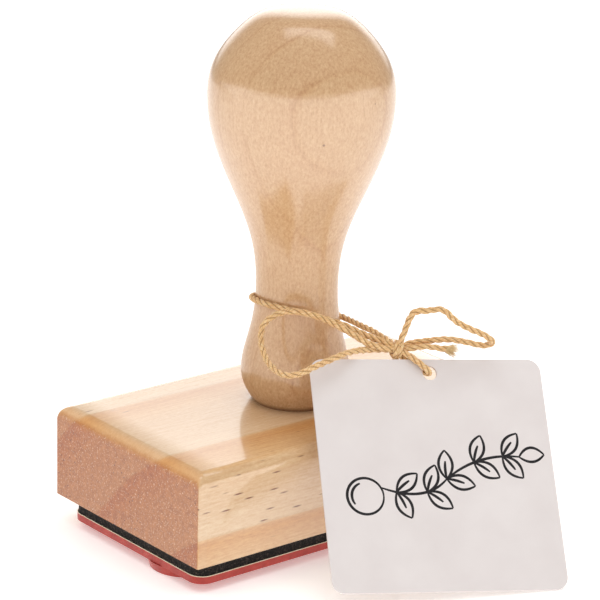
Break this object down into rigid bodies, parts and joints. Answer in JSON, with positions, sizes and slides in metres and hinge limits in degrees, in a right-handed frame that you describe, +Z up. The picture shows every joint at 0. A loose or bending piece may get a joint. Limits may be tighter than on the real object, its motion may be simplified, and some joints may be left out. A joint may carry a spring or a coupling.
{
  "type": "rubber stamp",
  "caption": "Wood-mounted hand stamp: turned knob handle screwed to a pine block, foam cushion, rubber die with a sprig design, card hang tag tied on with jute twine.",
  "frame": {"origin": "on the printing face's plane, under the handle's axis, which is the middle of the block", "axes": "+Z up along the handle, +X along the block's length to the right, -Y towards the front, where the tag hangs"},
  "size_m": [0.08, 0.0824, 0.1],
  "materials": {
    "rubber": "matte",
    "adhesive": "clear film with a cream edge",
    "foam": "fine closed-cell foam, matte",
    "pine": "clear satin lacquer",
    "screw_steel": "zinc plated",
    "turned_wood": "clear satin lacquer",
    "jute": "twisted natural fibre",
    "card": "smooth uncoated card"
  },
  "bodies": {
    "die": {"rubber_die": "rubber", "die_film": "adhesive", "foam_cushion": "foam"},
    "stamp": {"mount_film": "adhesive", "mount_block": "pine", "handle_screw": "screw_steel", "handle": "turned_wood", "neck_twine": "jute", "left_bow": "jute", "right_bow": "jute", "bow_tail": "jute", "short_tail": "jute", "bow_knot": "jute"},
    "tag": {"hang_tag": "card", "tag_strand": "jute"}
  },
  "joints": [
    {"name": "cushion_press", "type": "slide", "parent": "die", "child": "stamp", "axis": [0, 0, -1], "range_m": [0, 0.0008], "stiffness_N_per_m": 6000, "springref_m": -0.0005, "deforming": ["foam_cushion"]},
    {"name": "tag_swing", "type": "hinge", "parent": "stamp", "child": "tag", "pos_m": [0.0071, -0.0215, 0.038], "axis": [-0.9117, 0.4049, 0.0702], "range_deg": [0, 20]}
  ]
}
